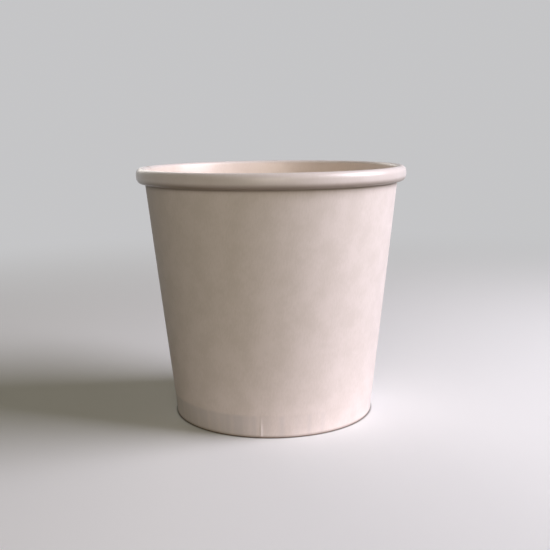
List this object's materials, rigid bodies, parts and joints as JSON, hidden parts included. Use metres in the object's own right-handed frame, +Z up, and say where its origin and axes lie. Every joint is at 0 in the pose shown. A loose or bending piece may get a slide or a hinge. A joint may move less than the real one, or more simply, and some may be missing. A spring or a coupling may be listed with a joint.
{
  "type": "paper soup container",
  "caption": "Open tapered round paper container with a rolled rim, a lapped side seam, a pressed foot band and a raised bottom panel.",
  "frame": {"origin": "on the container's axis, in the plane that the foot rests on", "axes": "+Z up along the axis through the open mouth; -Y faces the side that the picture shows, with the small pleat in the foot band"},
  "size_m": [0.09, 0.09, 0.0835],
  "materials": {
    "wall_board": "matte",
    "disc_board": "matte"
  },
  "bodies": {
    "root": {"side_wall": "wall_board", "bottom_disc": "disc_board"}
  },
  "joints": []
}
